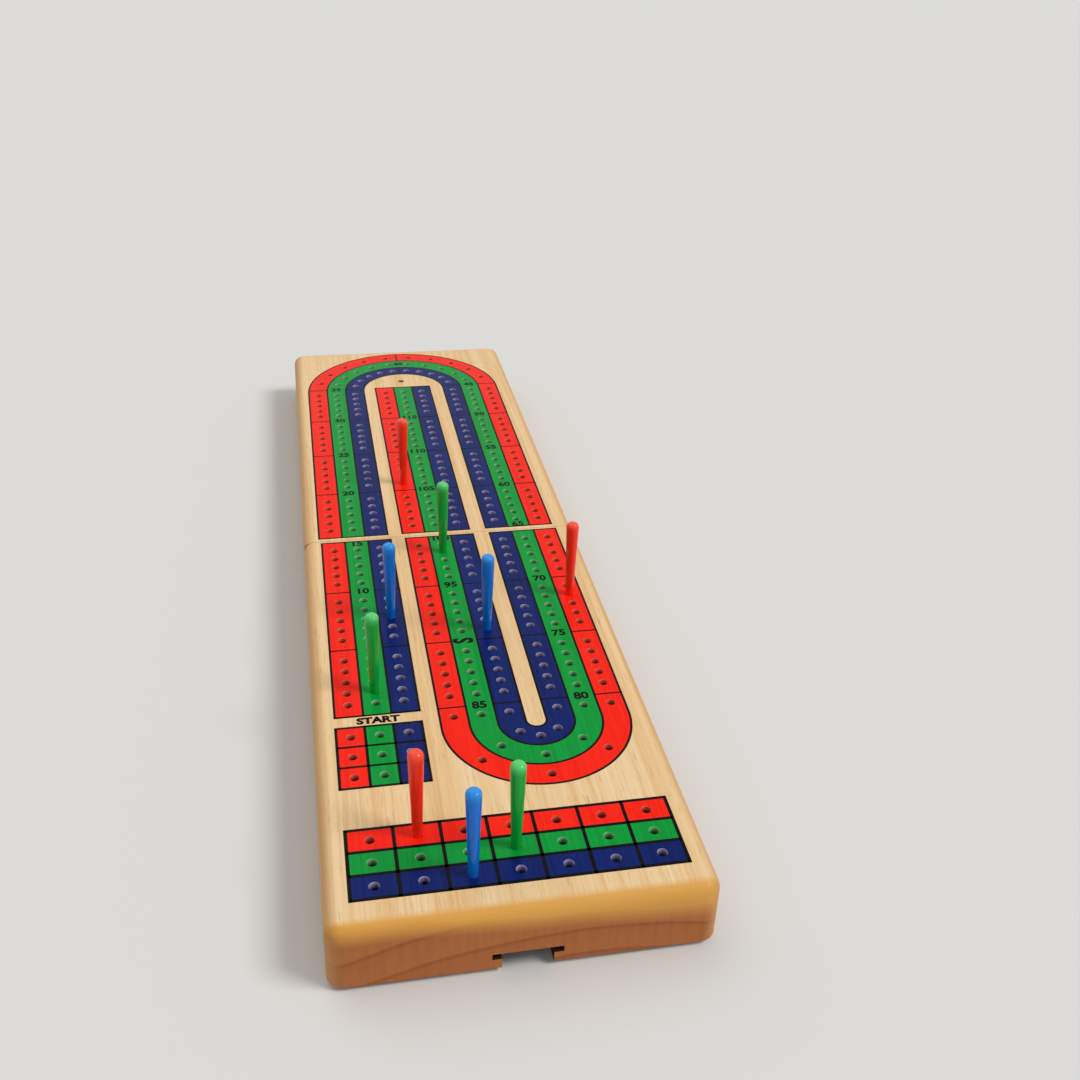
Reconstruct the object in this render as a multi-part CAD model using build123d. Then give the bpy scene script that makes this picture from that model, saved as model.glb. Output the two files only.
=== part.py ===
from build123d import *
from math import cos, pi, sin
import os

# Folding three-track cribbage board with a peg drawer.
# Two solid wooden halves lie flat, end to end, on a pair of small brass butt hinges let into
# their undersides, so that they fold with the undersides together and the tracks outside.
# A T-shaped slot in the near end holds a moulded drawer for the nine pegs.
# Frame: X across the board, Y along it with the near end at -Y, Z up.
# Origin: middle of the board's length and width, at the lowest point of the hinge knuckles.
# Millimetres throughout.

# ---- board ----
board_length = 374.0
board_width = 101.6
board_thickness = 20.0
edge_round = 4.0  # routed round-over along the top edges
corner_round = 4.5  # outer corners, seen from above
seam_corner_round = 3.0  # corners beside the seam, seen from above
bottom_ease = 0.8  # sanded flat along the lower edges
seam_gap = 0.2

# ---- peg holes and track ----
hole_flats = 2.9  # across the flats of a peg hole
hole_sides = 6
hole_depth = 10.3
lane_width = 8.45
lane_count = 3
group_holes = 5  # holes between two division lines
near_groups = 3
far_groups = 4
track_half_width = 43.95
middle_column_shift = -0.4
near_print_shift = -0.15  # the printed and drilled pattern sits a little off the middle
far_print_shift = -0.95
near_seam_margin = 1.4
far_seam_margin = 2.2
arch_end_margin = 6.05  # from the far arch's outer line to the board's end
arch_straight = -2.8  # last division line to the arch's centre
arch_holes = 10
turn_straight = 9.4  # last division line to the near turn's centre
turn_entry = 4.4  # last division line to the first hole past it
turn_spread = 50.0  # degrees between the holes round the near turn
turn_holes = 3
finish_gap = 7.2
start_rows = 3
start_gap = 5.1
start_row_length = 8.83
game_columns = 7
game_column_width = 12.54
game_row_length = 8.2
game_end_margin = 9.7
game_shift = 0.4

# ---- pegs ----
peg_head_diameter = 4.4
peg_clearance = 0.1  # between the peg and its hole, at the board's face
peg_standing_height = 28.6
peg_tip_clearance = 0.3
peg_dome_height = 1.7
peg_sides = 10
dome_rings = ((1.0, 0.0), (0.8, 0.5), (0.35, 1.0))  # shares of the head's radius and height

# ---- drawer and its T-slot ----
slot_width = 13.5
groove_width = 18.6
groove_height = 1.9
lip_thickness = 3.6
drawer_setback = 9.0  # the drawer's front stands this far inside the near end
drawer_side_clearance = 0.25
drawer_lift = 0.2  # drawer's floor above the underside
flange_clearance = 0.1  # drawer's flanges above the lips
roof_clearance = 0.2
slot_end_clearance = 0.5
drawer_wall = 0.8
drawer_floor = 0.6
drawer_front_length = 10.0
thumb_scoop_radius = 4.0
thumb_scoop_depth = 2.4
drawer_bays = 3
bay_clearance = 1.0

# ---- hinges ----
hinge_length = 20.0
hinge_inset = 15.0  # from the board's side to the hinge
leaf_width = 9.0
leaf_thickness = 0.7
leaf_setback = 0.05  # the leaf's face lies this far inside the underside
knuckle_radius = 1.0
knuckle_count = 3
knuckle_gap = 0.15
knuckle_sides = 16
pin_radius = 0.42
pin_clearance = 0.05
axis_drop = 0.1  # hinge axis below the undersides
relief_clearance = 0.3
mortise_clearance = 0.1
screw_spacing = 12.0
screw_line = 5.6  # screws from the hinge axis
screw_head_radius = 1.3
screw_shank_radius = 0.65
screw_length = 6.5
screw_clearance = 0.05
screw_sides = 8

# ---- closing magnets ----
magnet_radius = 3.0
magnet_thickness = 2.0
magnet_setback = 0.1
magnet_clearance = 0.05
magnet_end_distance = 10.0
magnet_spacing = 76.0
magnet_sides = 12

# ---- worked out from the sizes above ----
half_length = board_length / 2
underside = knuckle_radius + axis_drop
top = underside + board_thickness
column_width = lane_count * lane_width
arch_centre_y = half_length - arch_end_margin - track_half_width
group_length = (arch_centre_y - arch_straight - far_seam_margin) / far_groups
hole_pitch = group_length / (group_holes + 1)
near_column_end = near_seam_margin + near_groups * group_length
far_column_end = far_seam_margin + far_groups * group_length
left_edge = -track_half_width
middle_edge = middle_column_shift - column_width / 2
right_edge = track_half_width - column_width
turn_centre_x = (middle_edge + track_half_width) / 2
turn_centre_y = -near_column_end - turn_straight
turn_outer_radius = (track_half_width - middle_edge) / 2
lip_top = underside + lip_thickness
groove_roof = lip_top + groove_height
peg_seat_depth = hole_depth - peg_tip_clearance
peg_length = peg_seat_depth + peg_standing_height
bay_length = peg_length + bay_clearance
drawer_length = drawer_front_length + drawer_bays * bay_length + drawer_bays * drawer_wall
slot_length = drawer_setback + drawer_length + slot_end_clearance
hinge_x = board_width / 2 - hinge_inset - hinge_length / 2
knuckle_pitch = hinge_length / knuckle_count


def lane_centres(edge):
    """X of the lanes of a column whose left edge is given."""
    return [edge + (lane + 0.5) * lane_width for lane in range(lane_count)]


def column_holes(edge, first, groups, direction):
    """Holes of one straight column: three lanes, five holes to a group."""
    steps = [
        first + group * group_length + hole * hole_pitch
        for group in range(groups)
        for hole in range(1, group_holes + 1)
    ]
    return [(x, direction * y) for x in lane_centres(edge) for y in steps]


def on_arc(centre_x, centre_y, radius, angle):
    return (centre_x + radius * cos(angle), centre_y + radius * sin(angle))


def near_holes():
    """Every drilled hole of the near half, as (x, y)."""
    spots = []
    for edge in (left_edge, middle_edge, right_edge):
        spots += column_holes(edge, near_seam_margin, near_groups, -1)
    for lane in range(lane_count):
        radius = turn_outer_radius - (lane + 0.5) * lane_width
        for step in range(turn_holes):
            turned = turn_spread * (step - (turn_holes - 1) / 2)
            spots.append(on_arc(turn_centre_x, turn_centre_y, radius, -pi / 2 + turned * pi / 180))
        for side in (-1, 1):
            spots.append((turn_centre_x + side * radius, -near_column_end - turn_entry))
    start_top = -near_column_end - start_gap
    for x in lane_centres(left_edge):
        for row in range(start_rows):
            spots.append((x, start_top - (row + 0.5) * start_row_length))
    game_bottom = -half_length + game_end_margin
    for column in range(game_columns):
        x = game_shift + (column + 0.5 - game_columns / 2) * game_column_width
        for row in range(lane_count):
            spots.append((x, game_bottom + (row + 0.5) * game_row_length))
    return [(x + near_print_shift, y) for x, y in spots]


def far_holes():
    """Every faceted hole of the far half, as (x, y); the finish hole is apart."""
    spots = []
    for edge in (left_edge, middle_edge, right_edge):
        spots += column_holes(edge, far_seam_margin, far_groups, 1)
    for lane in range(lane_count):
        radius = track_half_width - (lane + 0.5) * lane_width
        for step in range(1, arch_holes + 1):
            spots.append(on_arc(0, arch_centre_y, radius, pi * step / (arch_holes + 1)))
    return [(x + far_print_shift, y) for x, y in spots]


def finish_spot():
    return (middle_column_shift + far_print_shift, far_column_end + finish_gap)


def hole_cutters(spots):
    """One faceted blind hole for each spot, drilled from the top."""
    profile = RegularPolygon(hole_flats / 2, hole_sides, major_radius=False)
    prism = extrude(profile, hole_depth + 1)
    return [Pos(x, y, top - hole_depth) * prism for x, y in spots]


def round_corners(shape, spots, radius):
    """Rounds the corners of a flat shape that lie at the given points."""
    corners = [v for v in shape.vertices() if (round(v.X, 3), round(v.Y, 3)) in spots]
    return fillet(corners, radius)


def board_block():
    """The whole board before it is sawn in two: rounded corners and routed edges."""
    plan = RectangleRounded(board_width, board_length, corner_round)
    block = extrude(Plane.XY.offset(underside) * plan, board_thickness)
    block = fillet(block.faces().sort_by(Axis.Z)[-1].edges(), edge_round)
    eased = Pos(0, 0, underside + board_thickness / 2) * Box(
        board_width, board_length, board_thickness
    )
    return block & chamfer(eased.faces().sort_by(Axis.Z)[0].edges(), bottom_ease)


def half_block(direction):
    """One half: near for -1, far for +1, with its two seam corners rounded."""
    depth = half_length + 1 - seam_gap / 2
    middle_y = direction * (seam_gap / 2 + depth / 2)
    seam_y = round(direction * seam_gap / 2, 3)
    side_x = round(board_width / 2, 3)
    plan = Pos(0, middle_y) * Rectangle(board_width, depth)
    plan = round_corners(plan, [(side_x, seam_y), (-side_x, seam_y)], seam_corner_round)
    return board_block() & extrude(plan, top + 1)


def mortises(direction):
    """Recesses for one half's hinge leaves, knuckles and screws."""
    cuts = []
    depth = leaf_thickness + leaf_setback + mortise_clearance / 2
    for side in (-1, 1):
        x = side * hinge_x
        width = hinge_length + 2 * mortise_clearance
        reach = leaf_width + mortise_clearance
        centre = (x, direction * reach / 2, underside + depth / 2)
        cuts.append(Pos(*centre) * Box(width, reach, depth))
        relief = knuckle_radius + relief_clearance
        cuts.append(Pos(x, 0, underside - axis_drop) * Rot(0, 90, 0) * Cylinder(relief, width))
        for spot in screw_spots(side, direction):
            bore = screw_shank_radius + screw_clearance
            cuts.append(screw_prism(spot, bore, underside, screw_length + screw_clearance))
    return cuts


def magnet_spots(direction):
    y = direction * (half_length - magnet_end_distance)
    return [(side * magnet_spacing / 2, y) for side in (-1, 1)]


def magnet_pockets(direction):
    radius = magnet_radius + magnet_clearance
    pocket = extrude(RegularPolygon(radius, magnet_sides), magnet_thickness + magnet_setback)
    return [Pos(x, y, underside) * pocket for x, y in magnet_spots(direction)]


def t_slot():
    """The drawer's slot: a narrow mouth in the underside with a wider groove above the lips."""
    start = -half_length - 1
    length = slot_length + 1
    mouth_height = groove_roof - underside + 1
    mouth_centre = (0, start + length / 2, groove_roof - mouth_height / 2)
    groove_centre = (0, start + length / 2, lip_top + groove_height / 2)
    mouth = Pos(*mouth_centre) * Box(slot_width, length, mouth_height)
    return mouth + Pos(*groove_centre) * Box(groove_width, length, groove_height)


def near_half():
    half = half_block(-1)
    half -= hole_cutters(near_holes())
    return half - mortises(-1) - magnet_pockets(-1) - t_slot()


def far_half():
    half = half_block(1)
    half -= hole_cutters(far_holes())
    round_hole = Cylinder(hole_flats / 2, hole_depth + 1)
    half -= Pos(*finish_spot(), top - hole_depth + (hole_depth + 1) / 2) * round_hole
    return half - mortises(1) - magnet_pockets(1)


def drawer_section(width, bottom, roof):
    """A block over the drawer's whole length, from its front to its back wall."""
    centre_y = -half_length + drawer_setback + drawer_length / 2
    return Pos(0, centre_y, (bottom + roof) / 2) * Box(width, drawer_length, roof - bottom)


def peg_drawer():
    """Moulded tray: flanges that ride on the lips, one bay for each colour, a thumb scoop."""
    body_width = slot_width - 2 * drawer_side_clearance
    flange_width = groove_width - 2 * drawer_side_clearance
    floor = underside + drawer_lift
    brim = groove_roof - roof_clearance
    tray = drawer_section(body_width, floor, brim)
    tray += drawer_section(flange_width, lip_top + flange_clearance, brim)
    front = -half_length + drawer_setback
    well_height = brim - floor - drawer_floor
    for bay in range(drawer_bays):
        start = front + drawer_front_length + bay * (bay_length + drawer_wall)
        centre = (0, start + bay_length / 2, floor + drawer_floor + well_height / 2)
        well = Box(body_width - 2 * drawer_wall, bay_length, well_height + 0.001)
        tray -= Pos(*centre) * well
    scoop_y = front + drawer_front_length / 2
    scoop_z = floor + thumb_scoop_depth - thumb_scoop_radius
    return tray - Pos(0, scoop_y, scoop_z) * Rot(0, 90, 0) * Cylinder(
        thumb_scoop_radius, body_width + 2
    )


def peg(spot):
    """A tapered plastic peg with a domed head, standing in its hole."""
    shoulder = top + peg_standing_height - peg_dome_height
    crown = top + peg_standing_height
    head = peg_head_diameter / 2
    seat = hole_flats / 2 - peg_clearance
    taper = (head - seat) / (shoulder - top)
    rings = [(seat - taper * peg_seat_depth, top - peg_seat_depth)]
    for across, up in dome_rings:
        rings.append((head * across, crown - peg_dome_height * (1 - up)))
    return faceted(spot, rings, peg_sides)


def faceted(spot, rings, sides):
    """A flat-sided solid through rings, each given as its corners' radius and its height."""
    turns = [2 * pi * k / sides for k in range(sides)]
    loops = [
        [(spot[0] + radius * cos(a), spot[1] + radius * sin(a), height) for a in turns]
        for radius, height in rings
    ]
    outlines = [loops[0], loops[-1]]
    for low, high in zip(loops, loops[1:]):
        for k in range(sides):
            outlines.append([low[k - 1], low[k], high[k], high[k - 1]])
    return Solid(Shell([Face(Wire.make_polygon(corners)) for corners in outlines]))


def screw_spots(side, direction):
    return [
        (side * hinge_x + offset * screw_spacing / 2, direction * screw_line)
        for offset in (-1, 1)
    ]


def screw_prism(spot, radius, low, length):
    """A faceted shank, or the hole that it goes in."""
    return Pos(*spot, low) * extrude(RegularPolygon(radius, screw_sides), length)


def screw_head(spot, low, clearance=0.0):
    """A countersunk head, or the seat that it goes in, widest at the leaf's face."""
    height = screw_head_radius - screw_shank_radius
    wide = (screw_head_radius + clearance, low)
    narrow = (screw_shank_radius + clearance, low + height)
    return faceted(spot, (wide, narrow), screw_sides)


def hinge_screws(direction):
    """Countersunk screws of both hinges in one half, as separate solids."""
    face = underside + leaf_setback
    screws = []
    for side in (-1, 1):
        for spot in screw_spots(side, direction):
            shank = screw_prism(spot, screw_shank_radius, face, screw_length - leaf_setback)
            screws.append(screw_head(spot, face) + shank)
    return Compound(children=screws)


def barrel(radius, length):
    """A faceted rod along the hinge's axis."""
    return Rot(0, 90, 0) * extrude(RegularPolygon(radius, knuckle_sides), length / 2, both=True)


def hinge_leaf(side, direction):
    """One brass leaf with its rolled knuckles: the outer ones on the near leaf, the rest far."""
    x = side * hinge_x
    axis_z = underside - axis_drop
    face = underside + leaf_setback
    clear = knuckle_radius + relief_clearance / 2
    flat_length = leaf_width - clear
    centre_y = direction * (clear + flat_length / 2)
    leaf = Pos(x, centre_y, face + leaf_thickness / 2) * Box(hinge_length, flat_length, leaf_thickness)
    first = 0 if direction < 0 else 1
    for knuckle in range(first, knuckle_count, 2):
        width = knuckle_pitch - knuckle_gap
        knuckle_x = x + (knuckle + 0.5 - knuckle_count / 2) * knuckle_pitch
        roll = barrel(knuckle_radius, width)
        leaf += Pos(knuckle_x, 0, axis_z) * roll
        root = Box(width, clear + 0.5, leaf_thickness)
        leaf += Pos(knuckle_x, direction * (clear + 0.5) / 2, face + leaf_thickness / 2) * root
    bore = barrel((pin_radius + pin_clearance) / cos(pi / knuckle_sides), hinge_length + 2)
    leaf -= Pos(x, 0, axis_z) * bore
    for spot in screw_spots(side, direction):
        bore = screw_shank_radius + screw_clearance
        through = screw_prism(spot, bore, face, leaf_thickness)
        leaf = leaf - screw_head(spot, face, screw_clearance) - through
    return leaf


def hinge_pin(side):
    pin = Rot(0, 90, 0) * Cylinder(pin_radius, hinge_length - knuckle_gap)
    return Pos(side * hinge_x, 0, underside - axis_drop) * pin


def magnets(direction):
    disc = extrude(RegularPolygon(magnet_radius, magnet_sides), magnet_thickness)
    face = underside + magnet_setback
    return Compound(children=[Pos(x, y, face) * disc for x, y in magnet_spots(direction)])


def lane_hole(edge, lane, first, step, direction, shift):
    """A hole of a straight column, counted from the seam."""
    group, place = divmod(step - 1, group_holes)
    y = first + group * group_length + (place + 1) * hole_pitch
    return (lane_centres(edge)[lane] + shift, direction * y)


def near_hole(edge, lane, step):
    return lane_hole(edge, lane, near_seam_margin, step, -1, near_print_shift)


def far_hole(edge, lane, step):
    return lane_hole(edge, lane, far_seam_margin, step, 1, far_print_shift)


def game_hole(column, row):
    x = game_shift + (column - 0.5 - game_columns / 2) * game_column_width + near_print_shift
    return (x, -half_length + game_end_margin + (row - 0.5) * game_row_length)


def peg_spots():
    """Where the pegs stand: two on the track and one in the game row, for each colour."""
    return {
        "peg_red_1": near_hole(right_edge, 2, 7),
        "peg_red_2": far_hole(middle_edge, 0, 6),
        "peg_red_3": game_hole(2, 3),
        "peg_green_1": near_hole(left_edge, 1, 14),
        "peg_green_2": near_hole(middle_edge, 1, 2),
        "peg_green_3": game_hole(4, 2),
        "peg_blue_1": near_hole(left_edge, 2, 8),
        "peg_blue_2": near_hole(middle_edge, 2, 10),
        "peg_blue_3": game_hole(3, 1),
    }


def build_parts():
    parts = {
        "near_half": near_half(),
        "far_half": far_half(),
        "peg_drawer": peg_drawer(),
        "hinge_screws_near": hinge_screws(-1),
        "hinge_screws_far": hinge_screws(1),
        "near_magnets": magnets(-1),
        "far_magnets": magnets(1),
    }
    for side, name in ((-1, "left"), (1, "right")):
        parts[f"hinge_{name}_near_leaf"] = hinge_leaf(side, -1)
        parts[f"hinge_{name}_far_leaf"] = hinge_leaf(side, 1)
        parts[f"hinge_{name}_pin"] = hinge_pin(side)
    for name, spot in peg_spots().items():
        parts[name] = peg(spot)
    return parts


os.makedirs("parts", exist_ok=True)
for name, shape in build_parts().items():
    export_step(shape, f"parts/{name}.step")
print("hole pitch", round(hole_pitch, 3), "peg length", round(peg_length, 2))
print("drawer length", round(drawer_length, 2), "slot length", round(slot_length, 2))
print("holes", len(near_holes()) + len(far_holes()) + 1)
print("finish hole", finish_spot(), "top", top, "underside", underside)
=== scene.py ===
import bmesh
import bpy
from math import cos, pi, radians, sin
from mathutils import Matrix, Vector


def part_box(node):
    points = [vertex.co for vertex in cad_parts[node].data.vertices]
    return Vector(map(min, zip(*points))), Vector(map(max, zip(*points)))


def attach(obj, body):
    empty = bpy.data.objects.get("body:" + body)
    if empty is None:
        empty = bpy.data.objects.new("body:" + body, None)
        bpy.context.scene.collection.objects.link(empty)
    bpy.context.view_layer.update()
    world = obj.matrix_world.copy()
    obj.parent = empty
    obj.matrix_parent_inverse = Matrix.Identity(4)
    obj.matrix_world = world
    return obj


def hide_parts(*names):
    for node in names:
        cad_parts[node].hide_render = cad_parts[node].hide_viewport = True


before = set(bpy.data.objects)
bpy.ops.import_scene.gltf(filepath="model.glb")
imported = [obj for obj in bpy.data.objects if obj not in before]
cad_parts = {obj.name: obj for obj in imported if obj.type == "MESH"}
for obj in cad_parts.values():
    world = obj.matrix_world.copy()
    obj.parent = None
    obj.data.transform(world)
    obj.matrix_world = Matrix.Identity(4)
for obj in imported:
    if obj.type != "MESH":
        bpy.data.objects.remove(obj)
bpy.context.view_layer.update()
mm = 0.001
print("frame loaded,", len(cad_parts), "nodes")


def linear(hexColour):  # sRGB hex to the linear colour that the nodes want
    channels = [int(hexColour[i:i + 2], 16) / 255 for i in (1, 3, 5)]
    bright = [c / 12.92 if c <= 0.04045 else ((c + 0.055) / 1.055) ** 2.4 for c in channels]
    return (*bright, 1.0)


def addNode(tree, kind, given=None, **settings):  # each input is given a value or a socket
    node = tree.nodes.new(kind)
    for key, value in settings.items():
        setattr(node, key, value)
    for key, value in (given or {}).items():
        if isinstance(value, bpy.types.NodeSocket):
            tree.links.new(value, node.inputs[key])
        else:
            node.inputs[key].default_value = value
    return node


def newMaterial(name, **values):
    material = bpy.data.materials.new(name)
    material.use_nodes = True
    tree = material.node_tree
    shader = tree.nodes["Principled BSDF"]
    for key, value in values.items():
        shader.inputs[key.replace("_", " ")].default_value = value
    return material, tree, shader


def colourRamp(tree, factor, stops):
    node = addNode(tree, "ShaderNodeValToRGB", {"Fac": factor})
    ramp = node.color_ramp
    while len(ramp.elements) < len(stops):
        ramp.elements.new(0.5)
    for element, (position, colour) in zip(ramp.elements, stops):
        element.position = position
        element.color = linear(colour) if isinstance(colour, str) else (*[colour] * 3, 1)
    return node.outputs["Color"]


def addNoise(tree, where, cells, detail, **more):  # cells to the mm across, along and up
    scale = tuple(count / mm for count in cells)
    space = addNode(tree, "ShaderNodeMapping", {"Vector": where, "Scale": scale})
    return addNode(tree, "ShaderNodeTexNoise", {
        "Vector": space.outputs["Vector"], "Scale": 1.0, "Detail": detail, **more}).outputs["Fac"]


def alongGrain(width, stretch):  # cells as wide as a line of the grain, drawn out lengthways
    return 1 / width, stretch / width, 1 / width


def mathOf(tree, operation, *terms):
    return addNode(tree, "ShaderNodeMath", dict(enumerate(terms)), operation=operation).outputs[0]


def blend(tree, share, low, high):
    given = {"Factor": share, "A": low, "B": high}
    return addNode(tree, "ShaderNodeMix", given, data_type="RGBA").outputs["Result"]


def split(tree, vector):
    return addNode(tree, "ShaderNodeSeparateXYZ", {"Vector": vector}).outputs


def rangeOf(tree, value, start, end):  # 0 at the start and 1 at the end, both in mm
    return addNode(tree, "ShaderNodeMapRange", {
        "Value": value, "From Min": start * mm, "From Max": end * mm}).outputs["Result"]


def finishShader(tree, shader, colour, relief=None, strength=0.0, depth=0.0):
    tree.links.new(colour, shader.inputs["Base Color"])
    if relief is not None:
        bump = addNode(tree, "ShaderNodeBump", {
            "Height": relief, "Strength": strength, "Distance": depth * mm})
        tree.links.new(bump.outputs["Normal"], shader.inputs["Normal"])


def objectSpace(tree):
    return addNode(tree, "ShaderNodeTexCoord").outputs["Object"]


sideways = Matrix.Rotation(radians(90), 4, "Y")
smoothTurn = radians(32)  # faces that meet at less than this are shaded as one round
beyond = 1.0  # mm that a cutting tool runs on past the face it opens


def place(bm, verts, *steps):
    for step in steps:
        bmesh.ops.transform(bm, matrix=step, verts=verts)


def shiftBy(x, y, z):
    return Matrix.Translation(Vector((x, y, z)) * mm)


def sizeBy(x, y, z):
    return Matrix.Diagonal((x * mm, y * mm, z * mm, 1))


def sharpen(bm):  # hard edges stay hard, rounds stay smooth, and flats stay flat
    def isFlat(face):
        return max(abs(c) for c in face.normal) > 0.99999
    for face in bm.faces:
        face.smooth = True
    for edge in bm.edges:
        faces = edge.link_faces
        if len(faces) != 2:
            continue
        edge.smooth = (edge.calc_face_angle(0) < smoothTurn
                       and isFlat(faces[0]) == isFlat(faces[1]))


def addObject(name, bm, materials=(), recalculate=True):
    if recalculate:
        bmesh.ops.recalc_face_normals(bm, faces=bm.faces)
    mesh = bpy.data.meshes.new(name)
    bm.to_mesh(mesh)
    bm.free()
    piece = bpy.data.objects.new(name, mesh)
    bpy.context.scene.collection.objects.link(piece)
    for material in materials:
        mesh.materials.append(material)
    return piece


def carve(target, cutter, operation="DIFFERENCE"):
    modifier = target.modifiers.new("carve", "BOOLEAN")
    modifier.operation, modifier.object, modifier.solver = operation, cutter, "EXACT"
    modifier.material_mode = "TRANSFER"
    bpy.context.view_layer.update()
    shaped = bpy.data.meshes.new_from_object(
        target.evaluated_get(bpy.context.evaluated_depsgraph_get()))
    target.modifiers.clear()
    target.data = shaped
    bpy.data.objects.remove(cutter)
    return target


def settle(piece, body, slotName, *nodes):
    bm = bmesh.new()
    bm.from_mesh(piece.data)
    bmesh.ops.remove_doubles(bm, verts=bm.verts, dist=0.002 * mm)
    sharpen(bm)
    bm.to_mesh(piece.data)
    bm.free()
    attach(piece, body)
    if nodes:
        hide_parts(*nodes)
    return piece


def addBox(bm, width, length, height, x, y, z):  # centred in x and y, standing on z
    verts = bmesh.ops.create_cube(bm, size=1)["verts"]
    place(bm, verts, sizeBy(width, length, height), shiftBy(x, y, z + height / 2))


def addRound(bm, radius, topRadius, height, x, y, z, sides):  # a cone or drum standing on z
    verts = bmesh.ops.create_cone(
        bm, cap_ends=True, segments=sides, radius1=radius * mm, radius2=topRadius * mm,
        depth=height * mm)["verts"]
    place(bm, verts, shiftBy(x, y, z + height / 2))
    return verts


def addAlong(bm, radius, length, x, y, z, sides=32):  # a rod along x, centred
    verts = bmesh.ops.create_cone(
        bm, cap_ends=True, segments=sides, radius1=radius * mm, radius2=radius * mm,
        depth=length * mm)["verts"]
    place(bm, verts, sideways, shiftBy(x, y, z))


def uprightEdges(bm, isPicked=lambda spot: True):
    found = []
    for edge in bm.edges:
        a, b = (v.co for v in edge.verts)
        if abs(a.x - b.x) < 1e-6 and abs(a.y - b.y) < 1e-6 and isPicked(a / mm):
            found.append(edge)
    return found


def edgesAt(bm, height):
    return [e for e in bm.edges if all(abs(v.co.z / mm - height) < 0.01 for v in e.verts)]


def ringEdges(bm, axis):  # the edges that lie across an axis
    return [e for e in bm.edges if abs(e.verts[0].co[axis] - e.verts[1].co[axis]) < 1e-7]


def bevelEdges(bm, edges, size, segments):
    bmesh.ops.bevel(bm, geom=edges, offset=size * mm, offset_type="OFFSET", segments=segments,
                    profile=0.5, affect="EDGES", material=-1, clamp_overlap=True)


board = {
    "length": 374.0, "width": 101.6, "thickness": 20.0, "underside": 1.1,
    "topRound": 4.0, "endCorner": 4.5, "seamCorner": 3.0, "lowerRound": 0.8, "seamGap": 0.2,
    "cuts": 12,  # strips that each half's faces are cut into, both ways, before it is drilled
}
boardTop = board["underside"] + board["thickness"]
track = {
    "lane": 8.45, "halfWidth": 43.95, "middleShift": -0.4, "nearShift": -0.15, "farShift": -0.95,
    "nearMargin": 1.4, "farMargin": 2.2, "archMargin": 6.05, "archStraight": -2.8,
    "turnStraight": 9.4, "turnEntry": 4.4, "turnSpread": 50.0, "archHoles": 10, "turnHoles": 3,
    "finishGap": 7.2, "startGap": 5.1, "startRow": 8.83, "startRows": 3,
    "gameColumn": 12.54, "gameColumns": 7, "gameRow": 8.2, "gameRows": 3, "gameEnd": 9.7,
    "gameShift": 0.4, "nearGroups": 3, "farGroups": 4,
}


woodLook = {
    "pale": "#F1D3A3", "body": "#E5BF88", "dark": "#CF9F64",
    "bandDark": "#DFAE74", "bandBody": "#E7C08A", "bandPale": "#F2D7AC",
    # side is painted shade for the long sides, and ochre is partly painted light on the rounds at
    # the ends
    "pore": "#AC7C44", "ochre": "#DCA048", "side": "#C48C45",
    "end": "#B96F36", "endLow": "#AE632E", "ringLine": "#8E4A20", "fleckDark": "#A45C2A",
    "grainWidth": 1.1, "grainStretch": 0.012,  # mm between fine lines on the faces
    "bandCells": (0.17, 0.0022, 0.17),  # broad paler and darker bands, cells to the mm
    "poreCells": (2.6, 0.13, 2.6), "poreShare": 0.45,
    "fleckCells": (0.7, 0.7, 0.06), "fleckShare": 0.35,
    "wobbleCells": (0.028, 0.028, 0.028),
    "ringWidth": 9.0,  # mm between growth rings on the ends
    "ringCentre": (16.0, 0.0, -112.0),  # mm, the tree's middle under the board
    "ringSquash": (0.82, 0, 1), "ringWobble": 4.0,
    "ochreTop": 21.5, "ochreFoot": 16.5,  # mm up, where the ends turn from ochre to orange
    "ochreTilt": 0.06, "ochreWobble": 6.0,
}


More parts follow.
